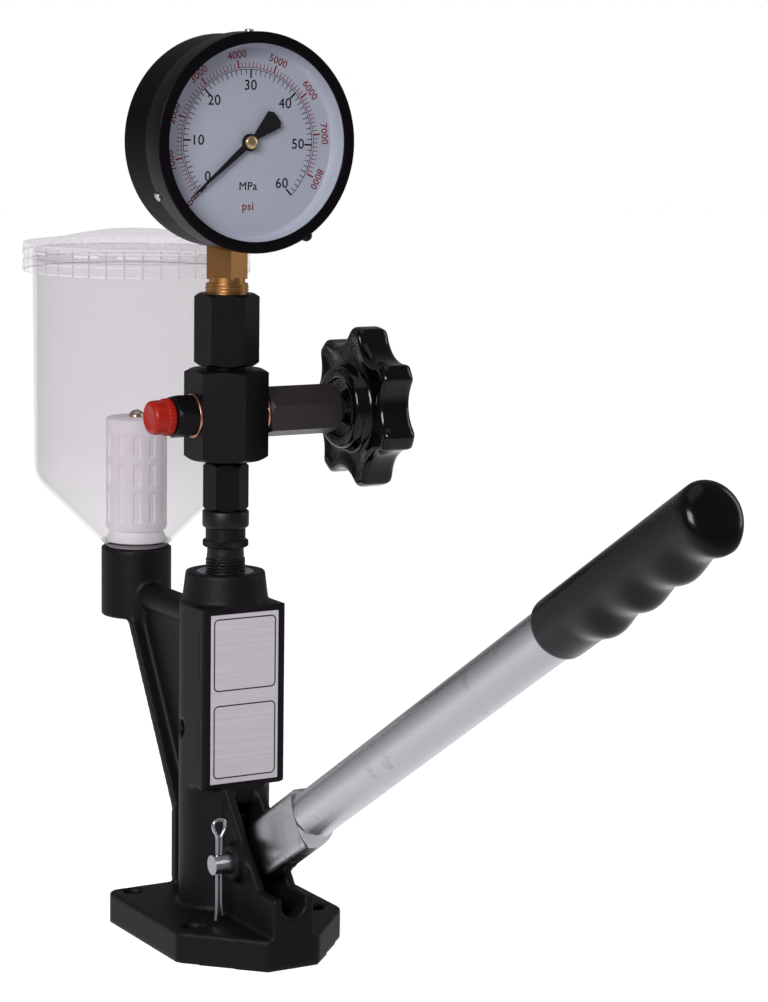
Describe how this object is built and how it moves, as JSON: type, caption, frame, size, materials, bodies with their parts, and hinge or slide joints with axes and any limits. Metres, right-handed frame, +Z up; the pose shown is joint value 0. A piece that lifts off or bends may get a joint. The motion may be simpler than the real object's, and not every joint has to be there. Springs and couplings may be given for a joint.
{
  "type": "diesel injector tester",
  "caption": "Hand-lever diesel injector tester: black cast stand with lever pump, round pressure gauge, shut-off valve with star knob, capped outlet and clear fuel tank.",
  "frame": {"origin": "column axis at the underside of the base, which is also the middle of the four bolt holes", "axes": "+Z up along the column, +Y towards the tank, -Y towards the lever's grip, +X towards the valve knob"},
  "size_m": [0.1407, 0.5509, 0.4355],
  "materials": {
    "casting_black": "satin black paint on a cast surface",
    "label_metal": "satin",
    "steel": "machined",
    "black_steel": "satin black oxide",
    "copper": "satin copper",
    "brass": "bright",
    "case_black": "satin black",
    "pointer_black": "matte black",
    "dial_face": "pale satin",
    "window_clear": "clear",
    "seal_rubber": "matte",
    "packing_white": "matte",
    "knob_black": "gloss",
    "cap_red": "semi-gloss",
    "tank_clear": "clear plastic",
    "filter_white": "translucent white",
    "zinc": "bright zinc",
    "grip_black": "glossy vinyl"
  },
  "bodies": {
    "stand": {"body_casting": "casting_black", "label_plate": "label_metal", "pump_barrel": "steel", "barrel_gasket": "copper", "spring_seat": "steel", "delivery_valve_seat": "steel", "valve_holder": "black_steel", "union_nut": "black_steel", "valve_block": "black_steel", "outlet_washer": "copper", "outlet_nipple": "black_steel", "bonnet_washer": "copper", "valve_bonnet": "black_steel", "spindle_packing": "packing_white", "gland_nut": "steel", "gauge_nut": "black_steel", "gauge_washer": "copper", "gauge_stem": "brass", "gauge_case": "case_black", "gauge_bezel": "case_black", "bezel_screws": "steel", "gauge_window": "window_clear", "window_gasket": "seal_rubber", "gauge_dial": "dial_face", "movement_frame": "brass", "hairspring": "steel", "bourdon_tube": "brass", "bourdon_link": "brass", "tank": "tank_clear", "tank_gasket": "seal_rubber", "filter_seat": "filter_white", "filter_cage": "filter_white", "filter_mesh": "filter_white", "filter_bolt": "brass", "pivot_pin": "steel", "cotter_pin": "steel"},
    "lever": {"lever_rocker": "black_steel", "lever_tube": "zinc", "lever_grip": "grip_black"},
    "pump_plunger": {"plunger": "steel", "tappet": "steel", "spring_retainer": "steel", "plunger_spring": "steel"},
    "delivery": {"delivery_valve": "steel", "delivery_valve_spring": "steel"},
    "needle": {"valve_needle": "steel"},
    "knob": {"valve_spindle": "steel", "hand_knob": "knob_black", "knob_screw": "steel"},
    "pointer": {"gauge_pointer": "pointer_black", "pointer_arbor": "brass"},
    "sector": {"sector_gear": "brass"},
    "lid": {"tank_lid": "tank_clear"},
    "cap": {"dust_cap": "cap_red"}
  },
  "joints": [
    {"name": "lever_pivot", "type": "hinge", "parent": "stand", "child": "lever", "pos_m": [0, -0.0355, 0.0442], "axis": [1, 0, 0], "range_deg": [0, 26], "stiffness_Nm_per_rad": 4, "springref_deg": -25.78},
    {"name": "plunger_slide", "type": "slide", "parent": "stand", "child": "pump_plunger", "axis": [0, 0, 1], "range_m": [0, 0.0163], "deforming": ["plunger_spring"]},
    {"name": "delivery_valve_lift", "type": "slide", "parent": "stand", "child": "delivery", "axis": [0, 0, 1], "range_m": [0, 0.0015], "stiffness_N_per_m": 400, "springref_m": -0.004, "deforming": ["delivery_valve_spring"]},
    {"name": "needle_slide", "type": "slide", "parent": "stand", "child": "needle", "axis": [1, 0, 0], "range_m": [0, 0.00305]},
    {"name": "knob_turn", "type": "hinge", "parent": "stand", "child": "knob", "pos_m": [0.07, 0, 0.2541], "axis": [1, 0, 0], "range_deg": [0, 720]},
    {"name": "pointer_swing", "type": "hinge", "parent": "stand", "child": "pointer", "pos_m": [0, -0.0215, 0.3833], "axis": [0, 1, 0], "range_deg": [0, 270], "stiffness_Nm_per_rad": 0.0005, "springref_deg": -28.65},
    {"name": "sector_swing", "type": "hinge", "parent": "stand", "child": "sector", "pos_m": [0, -0.0105, 0.3569], "axis": [0, 1, 0], "range_deg": [-27.2, 0]},
    {"name": "lid_lift", "type": "slide", "parent": "stand", "child": "lid", "axis": [0, 0, 1], "range_m": [0, 0.06]},
    {"name": "cap_pull", "type": "slide", "parent": "stand", "child": "cap", "axis": [-1, 0, 0], "range_m": [0, 0.03]}
  ],
  "couplings": [
    {"joint": "plunger_slide", "follows": "lever_pivot", "m_per_rad": 0.035653},
    {"joint": "needle_slide", "follows": "knob_turn", "m_per_rad": 0.00023873},
    {"joint": "sector_swing", "follows": "pointer_swing", "ratio": -0.1}
  ]
}
